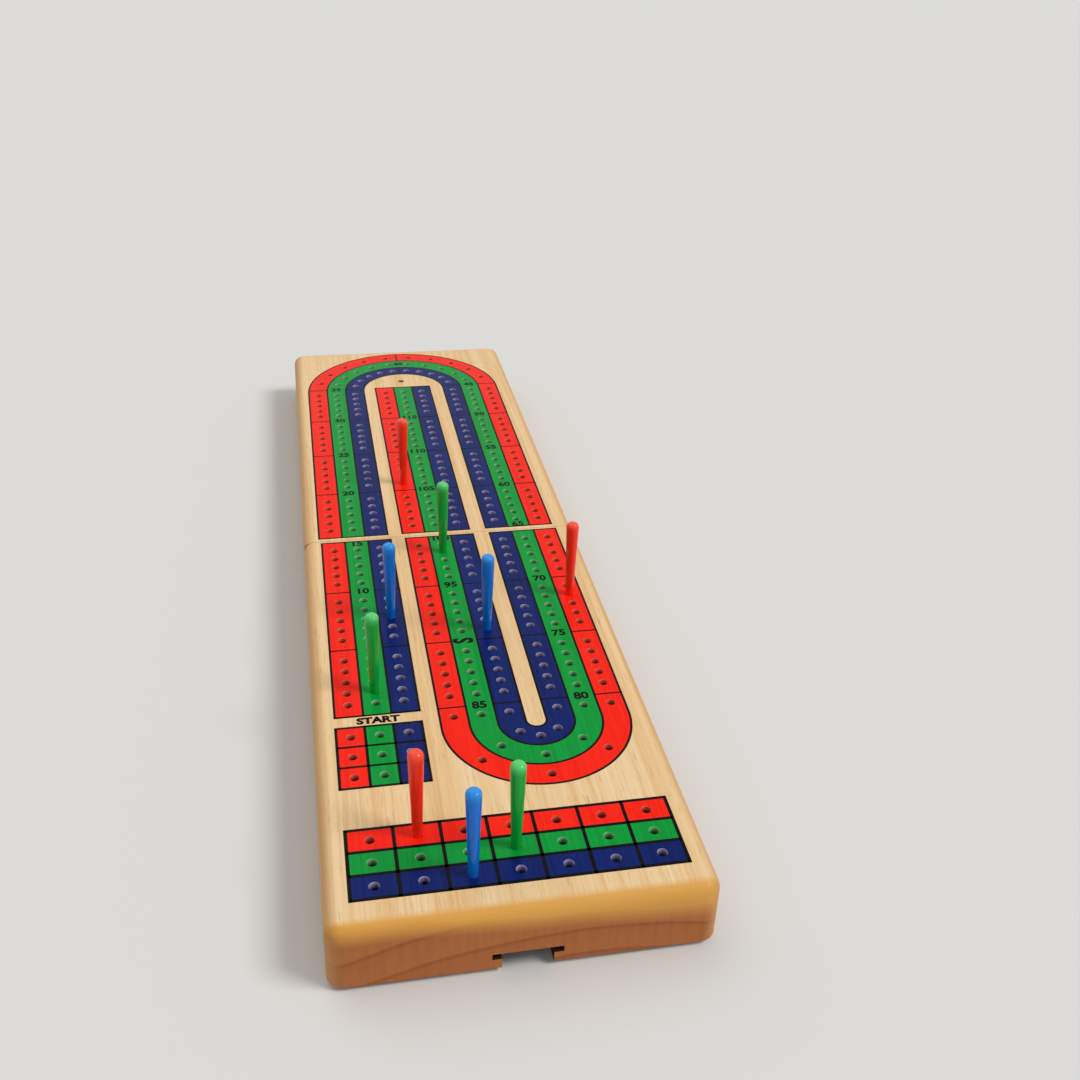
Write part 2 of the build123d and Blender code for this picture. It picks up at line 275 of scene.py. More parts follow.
def makeWood():
    # Rubberwood, planed and lacquered: straight fine grain on the faces, orange growth rings on
    # the sawn ends, which drink more of the lacquer than the faces do
    material, tree, shader = newMaterial(
        "lacqueredRubberwood", Roughness=0.45, Specular_IOR_Level=0.3)
    where = objectSpace(tree)
    fine = addNoise(tree, where, alongGrain(woodLook["grainWidth"], woodLook["grainStretch"]),
                    4.0, Roughness=0.6)
    bands = addNoise(tree, where, woodLook["bandCells"], 2.0, Distortion=0.4)
    fineColour = colourRamp(tree, fine, [
        (0.30, woodLook["dark"]), (0.48, woodLook["body"]), (0.72, woodLook["pale"])])
    bandColour = colourRamp(tree, bands, [
        (0.32, woodLook["bandDark"]), (0.50, woodLook["bandBody"]), (0.66, woodLook["bandPale"])])
    face = blend(tree, 0.5, fineColour, bandColour)
    # open pores, short dark dashes along the grain
    pores = addNoise(tree, where, woodLook["poreCells"], 1.0)
    poreMask = colourRamp(tree, pores, [(0.64, 0.0), (0.74, 1.0)])
    poreShare = mathOf(tree, "MULTIPLY", poreMask, woodLook["poreShare"])
    pored = blend(tree, poreShare, face, linear(woodLook["pore"]))
    # growth rings, seen on the sawn ends: broad soft bands, each closed by a thin dark line
    centred = addNode(tree, "ShaderNodeVectorMath", {
        0: where, 1: Vector(woodLook["ringCentre"]) * mm}, operation="SUBTRACT").outputs[0]
    squashed = addNode(tree, "ShaderNodeVectorMath", {
        0: centred, 1: woodLook["ringSquash"]}, operation="MULTIPLY").outputs[0]
    radius = addNode(tree, "ShaderNodeVectorMath", {0: squashed}, operation="LENGTH")
    wobble = addNoise(tree, where, woodLook["wobbleCells"], 1.0)
    ring = mathOf(tree, "MULTIPLY_ADD", wobble, woodLook["ringWobble"] * mm,
                  radius.outputs["Value"])
    turns = mathOf(tree, "MULTIPLY", ring, 1 / (woodLook["ringWidth"] * mm))
    ringColour = colourRamp(tree, mathOf(tree, "FRACT", turns), [
        (0.0, woodLook["end"]), (0.80, woodLook["endLow"]), (0.93, woodLook["ringLine"]),
        (1.0, woodLook["end"])])
    # fine upright fleck on the ends
    fleck = addNoise(tree, where, woodLook["fleckCells"], 3.0)
    fleckColour = colourRamp(tree, fleck, [
        (0.35, woodLook["fleckDark"]), (0.65, woodLook["end"])])
    endFace = blend(tree, woodLook["fleckShare"], ringColour, fleckColour)
    # how far the surface turns towards the ends and the long sides
    normal = split(tree, addNode(tree, "ShaderNodeTexCoord").outputs["Normal"])
    endward = mathOf(tree, "ABSOLUTE", normal["Y"])
    roundMask = colourRamp(tree, endward, [(0.05, 0.0), (0.45, 1.0)])
    sideward = mathOf(tree, "ABSOLUTE", normal["X"])
    # painted shade: the long sides are painted a darker tan
    sideShadeMask = colourRamp(tree, sideward, [(0.1, 0.0), (0.8, 0.8)])
    # the ends turn from ochre to orange below a line that dips towards the left; the ochre above it
    # is partly the round's mix of face and end grain and partly painted light where the round turns
    # up
    spot = split(tree, where)
    tilted = mathOf(tree, "MULTIPLY_ADD", spot["X"], woodLook["ochreTilt"], spot["Z"])
    uneven = mathOf(tree, "MULTIPLY_ADD", wobble, woodLook["ochreWobble"] * mm, tilted)
    lowShare = rangeOf(tree, uneven, woodLook["ochreTop"], woodLook["ochreFoot"])
    endMask = mathOf(tree, "MULTIPLY", lowShare, roundMask)
    ochreGrainAndLight = blend(tree, roundMask, pored, linear(woodLook["ochre"]))
    ended = blend(tree, endMask, ochreGrainAndLight, endFace)
    sideShaded = blend(tree, sideShadeMask, ended, linear(woodLook["side"]))
    finishShader(tree, shader, sideShaded, fine, 0.12, 0.05)
    return material


inkLook = {
    "red": ("#FC2612", "#F31D0B"), "green": ("#069A3A", "#048C34"),
    "navy": ("#0B2268", "#071A58"), "black": ("#060404", "#0B0807"),
    "grainWidth": 1.1, "grainStretch": 0.02,  # mm, the wood's grain telegraphing through the ink
}


def makeInk(colour):
    # Screen-printed gloss ink on wood: even colour, a faint ripple from the grain beneath
    light, dark = inkLook[colour]
    material, tree, shader = newMaterial(
        colour + "PrintingInk", Roughness=0.3, Specular_IOR_Level=0.08)
    cells = alongGrain(inkLook["grainWidth"], inkLook["grainStretch"])
    grain = addNoise(tree, objectSpace(tree), cells, 3.0)
    tone = colourRamp(tree, grain, [(0.35, dark), (0.6, light)])
    finishShader(tree, shader, tone, grain, 0.1, 0.03)
    return material


boreInkAndShadeLook = {  # painted shade far down the hole, and painted light at its lip, both tinted by the lane's ink
    "red": ("#5E160E", "#FA6E54"), "green": ("#0E3A1C", "#8ED092"),
    "navy": ("#0C0C26", "#B4A8CC"), "bare": ("#4A2C16", "#C99A62"),
    "fadeEnd": 2.4, "fadeStart": 0.1,  # mm below the board's face
    "cells": (0.9, 0.9, 0.9), "speckle": 0.25,
}


def makeStain(colour):
    # The drilled wall of a hole, tinted by its lane's ink: painted light makes it pale at the lip,
    # and painted shade darkens it further down
    deep, lit = boreInkAndShadeLook[colour]
    material, tree, shader = newMaterial(colour + "InkedBorePaintedLightAndShade", Roughness=0.35)
    where = objectSpace(tree)
    # painted light and shade: pale near the board's face, dark further down the hole
    lip = rangeOf(tree, split(tree, where)["Z"], boardTop - boreInkAndShadeLook["fadeEnd"],
                  boardTop - boreInkAndShadeLook["fadeStart"])
    noise = addNoise(tree, where, boreInkAndShadeLook["cells"], 2.0)
    share = mathOf(tree, "MULTIPLY_ADD", noise, boreInkAndShadeLook["speckle"], lip)
    finishShader(tree, shader, colourRamp(tree, share, [(0.1, deep), (1.0, lit)]))
    return material


def makeScorch():
    # The slot's walls, left bare, painted a near-black brown as painted shade for the slot's dark
    # inside
    material, tree, shader = newMaterial("routedSlotPaintedShade", Roughness=0.8, Specular_IOR_Level=0.1)
    noise = addNoise(tree, objectSpace(tree), (0.5, 0.5, 0.5), 3.0)
    finishShader(tree, shader, colourRamp(tree, noise, [(0.3, "#2A150C"), (0.7, "#46281A")]))
    return material


inkOrder = ["red", "green", "navy"]
boreOrder = inkOrder + ["bare"]
woodFinish = makeWood()
slotShade = makeScorch()
inks = {name: makeInk(name) for name in inkOrder + ["black"]}
inkedShadedBores = {name: makeStain(name) for name in boreOrder}
print("wood and inks ready")


hole = {"radius": 1.4, "depth": 10.3, "rim": 0.06, "sides": 20, "pastFace": 0.3}
halfLength = board["length"] / 2
archCentre = halfLength - track["archMargin"] - track["halfWidth"]
groupLength = (archCentre - track["archStraight"] - track["farMargin"]) / track["farGroups"]
holePitch = groupLength / 6
halves = {
    name: {"way": way, "shift": track[name + "Shift"], "margin": track[name + "Margin"],
           "groups": track[name + "Groups"],
           "end": track[name + "Margin"] + track[name + "Groups"] * groupLength}
    for name, way in (("near", -1), ("far", 1))}
nearEnd, farEnd = halves["near"]["end"], halves["far"]["end"]
columnWidth = 3 * track["lane"]
leftEdge = -track["halfWidth"]
middleEdge = track["middleShift"] - columnWidth / 2
rightEdge = track["halfWidth"] - columnWidth
columns = ((leftEdge, inkOrder), (middleEdge, inkOrder), (rightEdge, inkOrder[::-1]))
turnCentre = ((middleEdge + track["halfWidth"]) / 2, -nearEnd - track["turnStraight"])
turnRadius = (track["halfWidth"] - middleEdge) / 2


def columnSpots(half):  # five holes to a group in every lane of the three columns
    spots = []
    for edge, colours in columns:
        for lane, colour in enumerate(colours):
            x = edge + (lane + 0.5) * track["lane"]
            for group in range(half["groups"]):
                for step in range(1, 6):
                    reach = half["margin"] + group * groupLength + step * holePitch
                    spots.append((x, half["way"] * reach, colour))
    return spots


def nearSpots():
    half = halves["near"]
    spots = columnSpots(half)
    for lane, colour in enumerate(inkOrder):
        radius = turnRadius - (lane + 0.5) * track["lane"]
        for step in range(track["turnHoles"]):
            angle = radians(-90 + track["turnSpread"] * (step - (track["turnHoles"] - 1) / 2))
            spots.append((turnCentre[0] + radius * cos(angle),
                          turnCentre[1] + radius * sin(angle), colour))
        for side in (-1, 1):
            spots.append((turnCentre[0] + side * radius, -nearEnd - track["turnEntry"], colour))
        startX = leftEdge + (lane + 0.5) * track["lane"]
        for row in range(track["startRows"]):
            y = -nearEnd - track["startGap"] - (row + 0.5) * track["startRow"]
            spots.append((startX, y, colour))
    for column in range(track["gameColumns"]):
        x = track["gameShift"] + (column - 3) * track["gameColumn"]
        for row, colour in enumerate(inkOrder[::-1]):
            y = -halfLength + track["gameEnd"] + (row + 0.5) * track["gameRow"]
            spots.append((x, y, colour))
    return [(x + half["shift"], y, colour) for x, y, colour in spots]


def farSpots():
    half = halves["far"]
    spots = columnSpots(half)
    for lane, colour in enumerate(inkOrder):
        radius = track["halfWidth"] - (lane + 0.5) * track["lane"]
        for step in range(1, track["archHoles"] + 1):
            angle = pi * step / (track["archHoles"] + 1)
            spots.append((radius * cos(angle), archCentre + radius * sin(angle), colour))
    spots.append((track["middleShift"], farEnd + track["finishGap"], "bare"))
    return [(x + half["shift"], y, colour) for x, y, colour in spots]


holeSpots = {"near": nearSpots(), "far": farSpots()}


def holeCutter(spots):  # drills with a small countersink, carrying their lane's inked bore, with its painted light and shade
    bm = bmesh.new()
    for x, y, colour in spots:
        verts = addRound(bm, hole["radius"], hole["radius"], hole["depth"] - hole["rim"], x, y,
                         boardTop - hole["depth"], hole["sides"])
        faces = {face for vertex in verts for face in vertex.link_faces}
        cap = max(faces, key=lambda face: face.calc_center_median().z)
        middle = Vector((x, y, 0)) * mm
        sunk = hole["rim"] + hole["pastFace"]  # the cone goes on past the board's face
        grown = 1 + sunk / hole["radius"]
        cap = bmesh.ops.extrude_discrete_faces(bm, faces=[cap])["faces"][0]
        place(bm, cap.verts, Matrix.Translation(-middle), Matrix.Diagonal((grown, grown, 1, 1)),
              Matrix.Translation(middle), shiftBy(0, 0, sunk))
        for vertex in list(verts) + list(cap.verts):
            for face in vertex.link_faces:
                face.material_index = boreOrder.index(colour)
    return addObject("drills", bm, [inkedShadedBores[c] for c in boreOrder])


slotCut = {"mouth": 13.5, "groove": 18.6, "grooveHeight": 1.9, "lip": 3.6, "length": 140.7}
hinge = {
    "length": 20.0, "inset": 15.0, "leaf": 9.0, "thickness": 0.7, "setback": 0.05,
    "corner": 0.9, "knuckle": 1.0, "drop": 0.1, "relief": 0.3, "knuckleGap": 0.15, "root": 0.5,
    "pinRadius": 0.42, "pinBore": 0.47, "pinChamfer": 0.12, "mortiseGap": 0.1, "snug": 0.05,
}
screw = {
    "spacing": 12.0, "line": 5.6, "headRadius": 1.3, "shankRadius": 0.65, "coreRadius": 0.5,
    "tipRadius": 0.08, "straight": 4.6, "tip": 1.4, "bore": 6.5, "seatGap": 0.15, "snug": 0.05,
    "recess": (1.5, 0.32), "recessDepth": 0.4,
}
magnet = {
    "radius": 3.0, "thickness": 2.0, "setback": 0.1, "fromEnd": 10.0, "spacing": 76.0,
    "edge": 0.25, "snug": 0.05,
}
hingeX = board["width"] / 2 - hinge["inset"] - hinge["length"] / 2
hingeAxis = board["underside"] - hinge["drop"]


def screwSpots(side, direction):
    return [(side * hingeX + offset * screw["spacing"] / 2, direction * screw["line"])
            for offset in (-1, 1)]


def underCuts(direction):  # hinge mortises, screw bores and magnet pockets
    bm = bmesh.new()
    low = board["underside"]
    reach = hinge["leaf"] + hinge["mortiseGap"]
    depth = hinge["thickness"] + hinge["setback"] + hinge["snug"]
    shank = screw["shankRadius"] + screw["snug"]
    pocket = magnet["radius"] + magnet["snug"]
    for side in (-1, 1):
        addBox(bm, hinge["length"] + 2 * hinge["mortiseGap"], reach, depth + beyond,
               side * hingeX, direction * reach / 2, low - beyond)
        for x, y in screwSpots(side, direction):
            addRound(bm, shank, shank, screw["bore"] + screw["snug"], x, y, low, 16)
        addRound(bm, pocket, pocket, magnet["thickness"] + magnet["setback"] + beyond,
                 side * magnet["spacing"] / 2, direction * (halfLength - magnet["fromEnd"]),
                 low - beyond, 40)
    return bm


def reliefCut():  # hollows by the seam that the hinge knuckles turn in
    bm = bmesh.new()
    for side in (-1, 1):
        addAlong(bm, hinge["knuckle"] + hinge["relief"],
                 hinge["length"] + 2 * hinge["mortiseGap"], side * hingeX, 0, hingeAxis)
    return bm


def slotCutter(width, height, low):  # a channel that runs in from the near end
    bm = bmesh.new()
    reach = slotCut["length"] + beyond
    addBox(bm, width, reach, height, 0, -halfLength - beyond + reach / 2, low)
    return bm


def makeHalf(name):
    direction, low = halves[name]["way"], board["underside"]
    bm = bmesh.new()
    addBox(bm, board["width"], board["length"], board["thickness"], 0, 0, low)
    bevelEdges(bm, uprightEdges(bm), board["endCorner"], 8)
    bevelEdges(bm, edgesAt(bm, boardTop), board["topRound"], 8)
    bevelEdges(bm, edgesAt(bm, low), board["lowerRound"], 3)
    for step in range(1, board["cuts"]):  # smaller faces keep the drilled top clean
        across = board["width"] * (step / board["cuts"] - 0.5)
        along = direction * step * halfLength / board["cuts"]
        for where, normal in (((0, along, 0), (0, 1, 0)), ((across, 0, 0), (1, 0, 0))):
            bmesh.ops.bisect_plane(bm, geom=bm.verts[:] + bm.edges[:] + bm.faces[:],
                                   plane_co=Vector(where) * mm, plane_no=normal)
    half = addObject(name + "Half", bm, [woodFinish])
    # the board is sawn in two, and the cut's corners are eased
    bm = bmesh.new()
    reach = halfLength + beyond - board["seamGap"] / 2
    wide = board["width"] + 2 * beyond
    addBox(bm, wide, reach, board["thickness"] + 4 * beyond, 0,
           direction * (board["seamGap"] / 2 + reach / 2), low - 2 * beyond)
    for vertex in bm.verts:  # drawn in to the board's sides, so that the corners meet them
        vertex.co.x *= board["width"] / wide
    seamY = direction * board["seamGap"] / 2
    bevelEdges(bm, uprightEdges(bm, lambda spot: abs(spot.y - seamY) < 0.01),
               board["seamCorner"], 6)
    carve(half, addObject("planTool", bm, [woodFinish]), "INTERSECT")
    carve(half, holeCutter(holeSpots[name]))
    carve(half, addObject("underTool", underCuts(direction), [woodFinish]))
    carve(half, addObject("reliefTool", reliefCut(), [woodFinish]))
    if name == "near":
        roof = low + slotCut["lip"] + slotCut["grooveHeight"]
        mouth = slotCutter(slotCut["mouth"], roof - low + beyond, low - beyond)
        carve(half, addObject("slotTool", mouth, [slotShade]))
        groove = slotCutter(slotCut["groove"], slotCut["grooveHeight"], low + slotCut["lip"])
        carve(half, addObject("grooveTool", groove, [slotShade]))
    return half


nearHalf = settle(makeHalf("near"), "near_board", "board_wood", "near_half")
farHalf = settle(makeHalf("far"), "far_board", "board_wood", "far_half")
print("halves carved,", len(nearHalf.data.polygons), len(farHalf.data.polygons), "faces")


printing = {
    "thickness": 0.03, "lineRise": 0.05, "letterRise": 0.07, "outline": 0.7, "divider": 0.6,
    "startLine": 0.85, "gameLine": 1.0, "startDrop": 0.1, "bendSteps": 64,
    "seamNumberInset": 1.7,  # mm from the seam end of a lane to the middle of its number
}
lettering = {  # height in mm, stretch, turn in degrees, weight of stroke
    "number": (3.2, 1.02, 0, 0.035), "skunkLine": (6.2, 0.75, 90, 0.035),
    "start": (2.7, 1.12, 0, 0.05),
}


def sweep(bm, a, b, moves):  # an edge carried along straight runs and round bends
    ends = [bm.verts.new(Vector((*spot, boardTop)) * mm) for spot in (a, b)]
    tip = [bm.edges.new(ends)]
    for kind, *values in moves:
        if kind == "run":
            made = bmesh.ops.extrude_edge_only(bm, edges=tip)["geom"]
            verts = [g for g in made if isinstance(g, bmesh.types.BMVert)]
            place(bm, verts, shiftBy(values[0], values[1], 0))
            tip = [e for e in made if isinstance(e, bmesh.types.BMEdge)
                   and all(v in verts for v in e.verts)]
        else:
            centre, angle, steps = values
            geom = tip + list({v for e in tip for v in e.verts})
            made = bmesh.ops.spin(bm, geom=geom, cent=Vector((*centre, boardTop)) * mm,
                                  axis=(0, 0, 1), angle=angle, steps=steps)["geom_last"]
            tip = [g for g in made if isinstance(g, bmesh.types.BMEdge)]


def loopStrip(bm, centre, inner, outer, start):  # both straights of a loop and its bend
    x, y = centre
    run = y - start
    turn = -pi if run > 0 else pi
    sweep(bm, (x - outer, start), (x - inner, start), [
        ("run", 0, run), ("bend", centre, turn, printing["bendSteps"]), ("run", 0, -run)])


def strip(bm, x1, x2, y1, y2):
    sweep(bm, (x1, y1), (x2, y1), [("run", 0, y2 - y1)])


def thicken(bm, rise):
    bmesh.ops.remove_doubles(bm, verts=bm.verts, dist=0.001 * mm)
    bmesh.ops.recalc_face_normals(bm, faces=bm.faces)
    for face in bm.faces:
        if face.normal.z < 0:
            face.normal_flip()
    made = bmesh.ops.extrude_face_region(bm, geom=list(bm.faces), use_keep_orig=True)["geom"]
    place(bm, [g for g in made if isinstance(g, bmesh.types.BMVert)], shiftBy(0, 0, rise))


def inkSheet(name, colour):  # one colour's lanes and squares, punched through at its holes
    half, lane, index = halves[name], track["lane"], inkOrder.index(colour)
    shift, margin, end = half["shift"], half["margin"], half["end"]
    bm = bmesh.new()
    if name == "near":
        x = leftEdge + index * lane + shift
        strip(bm, x, x + lane, -margin, -end)
        outer = turnRadius - index * lane
        loopStrip(bm, (turnCentre[0] + shift, turnCentre[1]), outer - lane, outer, -margin)
        top = -end - track["startGap"]
        strip(bm, x, x + lane, top, top - track["startRows"] * track["startRow"])
        low = -halfLength + track["gameEnd"] + (2 - index) * track["gameRow"]
        reach = track["gameColumns"] / 2 * track["gameColumn"]
        middle = track["gameShift"] + shift
        strip(bm, middle - reach, middle + reach, low, low + track["gameRow"])
    else:
        outer = track["halfWidth"] - index * lane
        loopStrip(bm, (shift, archCentre), outer - lane, outer, margin)
        x = middleEdge + index * lane + shift
        strip(bm, x, x + lane, margin, end)
    thicken(bm, printing["thickness"])
    sheet = addObject(name + colour.capitalize() + "Ink", bm, [inks[colour]])
    bm = bmesh.new()
    radius = hole["radius"] + hole["rim"]
    for x, y, boreColour in holeSpots[name]:
        if boreColour == colour:
            addRound(bm, radius, radius, 2 * beyond, x, y, boardTop - beyond, hole["sides"])
    carve(sheet, addObject("punches", bm, [inks[colour]]))
    return settle(sheet, name + "_board", "board_wood")


for name in halves:
    for colour in inkOrder:
        sheet = inkSheet(name, colour)
        print("ink", sheet.name, len(sheet.data.polygons), "faces")


def outlineLoop(bm, centre, radius, start, width):
    loopStrip(bm, centre, radius - width / 2, radius + width / 2, start)


def upright(bm, x, y1, y2, width):
    strip(bm, x - width / 2, x + width / 2, y1, y2)


def level(bm, x1, x2, y, width):
    strip(bm, x1, x2, y - width / 2, y + width / 2)


def grid(bm, x0, y0, columnCount, rowCount, stepX, stepY, width):
    top = y0 + rowCount * stepY + width / 2
    for column in range(columnCount + 1):
        upright(bm, x0 + column * stepX, y0 - width / 2, top, width)
    for row in range(rowCount + 1):
        level(bm, x0, x0 + columnCount * stepX, y0 + row * stepY, width)


def addWords(bm, words, x, y, style):
    height, stretch, turn, weight = lettering[style]
    curve = bpy.data.curves.new("lettering", "FONT")
    curve.body, curve.size = words, 1.0
    curve.align_x, curve.align_y = "CENTER", "CENTER"
    curve.offset, curve.resolution_u = weight, 3
    holder = bpy.data.objects.new("lettering", curve)
    bpy.context.scene.collection.objects.link(holder)
    bpy.context.view_layer.update()
    mesh = bpy.data.meshes.new_from_object(holder)
    scale = height / 0.7 * mm  # the built-in face's capitals are 0.7 of its size
    mesh.transform(shiftBy(x, y, boardTop) @ Matrix.Rotation(radians(turn), 4, "Z")
                   @ Matrix.Diagonal((scale * stretch, scale, 1, 1)))
    bm.from_mesh(mesh)
    bpy.data.objects.remove(holder)
    bpy.data.meshes.remove(mesh)


def lineSheet(name):  # the black outlines, dividers and grids of one half
    half, lane, width = halves[name], track["lane"], printing["outline"]
    way, shift, margin, end = half["way"], half["shift"], half["margin"], half["end"]
    if name == "near":
        straight, radius = leftEdge, turnRadius
        centre = (turnCentre[0] + shift, turnCentre[1])
    else:
        straight, radius = middleEdge, track["halfWidth"]
        centre = (shift, archCentre)
    bm = bmesh.new()
    for k in range(4):
        upright(bm, straight + k * lane + shift, way * margin, way * end, width)
        outlineLoop(bm, centre, radius - k * lane, way * margin, width)
    level(bm, straight + shift - width / 2, straight + columnWidth + shift + width / 2,
          way * end, width)
    if name == "near":
        rows = track["startRows"]
        grid(bm, leftEdge + shift, -end - track["startGap"] - rows * track["startRow"],
             3, rows, lane, track["startRow"], printing["startLine"])
        reach = track["gameColumns"] / 2 * track["gameColumn"]
        grid(bm, track["gameShift"] + shift - reach, -halfLength + track["gameEnd"],
             track["gameColumns"], track["gameRows"], track["gameColumn"], track["gameRow"],
             printing["gameLine"])
    else:
        for k in (0, 2):  # the arch's middle, marked across its outer and inner lanes
            outer = archCentre + radius - k * lane
            strip(bm, shift - printing["divider"] / 2, shift + printing["divider"] / 2,
                  outer - lane, outer)
    for edge, _ in columns:
        level(bm, edge + shift - width / 2, edge + columnWidth + shift + width / 2,
              way * margin, width)
        for group in range(1, half["groups"] + 1):
            y = way * (margin + group * groupLength)
            for k in (0, 2):
                level(bm, edge + k * lane + shift, edge + (k + 1) * lane + shift, y,
                      printing["divider"])
    thicken(bm, printing["lineRise"])
    return bm


def numbers(name):  # every fifth hole's count, up or down from what each column has at the seam
    half = halves[name]
    counts = ((15, leftEdge, 1), (100, middleEdge, 1), (65, rightEdge, -1))
    seam = half["margin"] + printing["seamNumberInset"]
    found = [(label, edge, seam) for label, edge, _ in (
        counts[:2] if name == "near" else counts[2:])]
    for group in range(1, half["groups"] + 1):
        for start, edge, sense in counts:
            label = start + sense * half["way"] * 5 * group
            if 0 < label < 120:
                found.append((label, edge, half["margin"] + group * groupLength))
    return [(str(label), edge + 1.5 * track["lane"] + half["shift"], half["way"] * reach)
            for label, edge, reach in found]


for name, half in halves.items():
    bm = lineSheet(name)
    letters = bmesh.new()
    for words, x, y in numbers(name):
        if words == "90":  # the skunk line carries an S, lying across its lane
            addWords(letters, "S", x, y, "skunkLine")
        else:
            addWords(letters, words, x, y, "number")
    if name == "near":
        addWords(letters, "START", leftEdge + columnWidth / 2 + half["shift"],
                 -nearEnd - track["startGap"] / 2 - printing["startDrop"], "start")
    else:
        addWords(letters, "40", half["shift"],
                 archCentre + track["halfWidth"] - 1.5 * track["lane"], "number")
    thicken(letters, printing["letterRise"])
    spare = bpy.data.meshes.new("spare")
    letters.to_mesh(spare)
    letters.free()
    bm.from_mesh(spare)
    bpy.data.meshes.remove(spare)
    lines = addObject(name + "BlackInk", bm, [inks["black"]])
    settle(lines, name + "_board", "board_wood")
print("lines and numbers printed")


pegLook = {
    "red": ("#FA2C16", "#FF5236"), "green": ("#12A83C", "#5CD074"), "blue": ("#0670D4", "#2C92E4"),
    "head": 2.2, "seat": 1.35, "dome": 1.7, "standing": 28.6, "seated": 10.0, "foot": 0.25,
    "paintedTopLight": 3.2,  # mm at the top of the head painted paler, as painted light
}


def makePegPlastic(colour):
    # Injection-moulded polystyrene, tinted through and glossy; a little light gets into it, and the
    # top of the head is painted paler as painted light
    dark, light = pegLook[colour]
    material, tree, shader = newMaterial(
        colour + "Polystyrene", Roughness=0.2, Specular_IOR_Level=0.3, Subsurface_Weight=0.25,
        Subsurface_Scale=2 * mm)
    crown = boardTop + pegLook["standing"]
    # painted light: the head turns paler towards its crown
    rise = rangeOf(tree, split(tree, objectSpace(tree))["Z"], crown - pegLook["paintedTopLight"], crown)
    finishShader(tree, shader, colourRamp(tree, rise, [(0.0, dark), (1.0, light)]))
    return material


pegPlastics = {colour: makePegPlastic(colour) for colour in ("red", "green", "blue")}


def makePeg(node):  # stands where its solid does
    colour = node.split("_")[1]
    low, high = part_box(node)
    x, y = (low.x + high.x) / 2 / mm, (low.y + high.y) / 2 / mm
    crown, tip = boardTop + pegLook["standing"], boardTop - pegLook["seated"]
    taper = (pegLook["head"] - pegLook["seat"]) / (crown - pegLook["dome"] - boardTop)
    tipRadius = pegLook["seat"] - taper * pegLook["seated"]
    bm = bmesh.new()
    addRound(bm, tipRadius, pegLook["head"], crown - tip, x, y, tip, 40)
    bevelEdges(bm, edgesAt(bm, crown), pegLook["dome"], 8)
    bevelEdges(bm, edgesAt(bm, tip), pegLook["foot"], 2)
    peg = addObject("peg" + colour.capitalize() + node[-1], bm, [pegPlastics[colour]])
    settle(peg, node + "_body", "peg_" + colour, node)


for node in sorted(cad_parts):
    if node.startswith("peg_") and node != "peg_drawer":
        makePeg(node)
print("pegs stood")


def makeMetal(name, dark, light, roughness):
    material, tree, shader = newMaterial(name, Metallic=1.0, Roughness=roughness)
    noise = addNoise(tree, objectSpace(tree), (0.7, 0.7, 0.7), 3.0)
    finishShader(tree, shader, colourRamp(tree, noise, [(0.3, dark), (0.7, light)]))
    return material


# Brass stamped from sheet: warm yellow, with a sheen that blurs what it mirrors
brass = makeMetal("stampedBrass", "#B8923C", "#D4B45E", 0.28)
# Drawn steel wire: neutral grey, a little duller than plate
steel = makeMetal("drawnSteelWire", "#8E8F92", "#B4B5B8", 0.3)
# Bright nickel over the magnets: pale, faintly warm and the sharpest mirror of the three
nickel = makeMetal("nickelPlate", "#A9A8A4", "#C9C8C4", 0.2)


def bodyOf(direction):
    return "near_board" if direction < 0 else "far_board"


def pieceName(node):
    return node.title().replace("_", "")


def makeLeaf(side, direction, node):
    clear = hinge["knuckle"] + hinge["relief"] / 2
    reach = hinge["leaf"] - clear
    face = board["underside"] + hinge["setback"]
    x = side * hingeX
    bm = bmesh.new()
    addBox(bm, hinge["length"], reach, hinge["thickness"], x, direction * (clear + reach / 2), face)
    outer = direction * hinge["leaf"]
    bevelEdges(bm, uprightEdges(bm, lambda spot: abs(spot.y - outer) < 0.1), hinge["corner"], 5)
    leaf = addObject(pieceName(node), bm, [brass])
    pitch = hinge["length"] / 3
    width, root = pitch - hinge["knuckleGap"], clear + hinge["root"]
    for knuckle in (0, 2) if direction < 0 else (1,):
        middle = x + (knuckle - 1) * pitch
        bm = bmesh.new()
        addAlong(bm, hinge["knuckle"], width, middle, 0, hingeAxis)
        carve(leaf, addObject("knuckle", bm, [brass]), "UNION")
        bm = bmesh.new()
        addBox(bm, width, root, hinge["thickness"], middle, direction * root / 2, face)
        carve(leaf, addObject("root", bm, [brass]), "UNION")
    bm = bmesh.new()
    addAlong(bm, hinge["pinBore"], hinge["length"] + 2 * beyond, x, 0, hingeAxis, 20)
    carve(leaf, addObject("pinBore", bm, [brass]))
    bm = bmesh.new()
    lead = 0.1  # mm that the countersink starts outside the leaf
    rise = screw["headRadius"] - screw["shankRadius"] + lead
    for screwX, screwY in screwSpots(side, direction):
        addRound(bm, screw["headRadius"] + screw["seatGap"], screw["shankRadius"] + screw["snug"],
                 rise, screwX, screwY, face - lead, 28)
    carve(leaf, addObject("screwSeats", bm, [brass]))
    settle(leaf, bodyOf(direction), "hinge_brass", node)


def makePin(side, node):
    bm = bmesh.new()
    length = hinge["length"] - hinge["knuckleGap"]
    addAlong(bm, hinge["pinRadius"], length, side * hingeX, 0, hingeAxis, 20)
    bevelEdges(bm, ringEdges(bm, 0), hinge["pinChamfer"], 2)
    settle(addObject(pieceName(node), bm, [steel]), "near_board", "pin_steel", node)


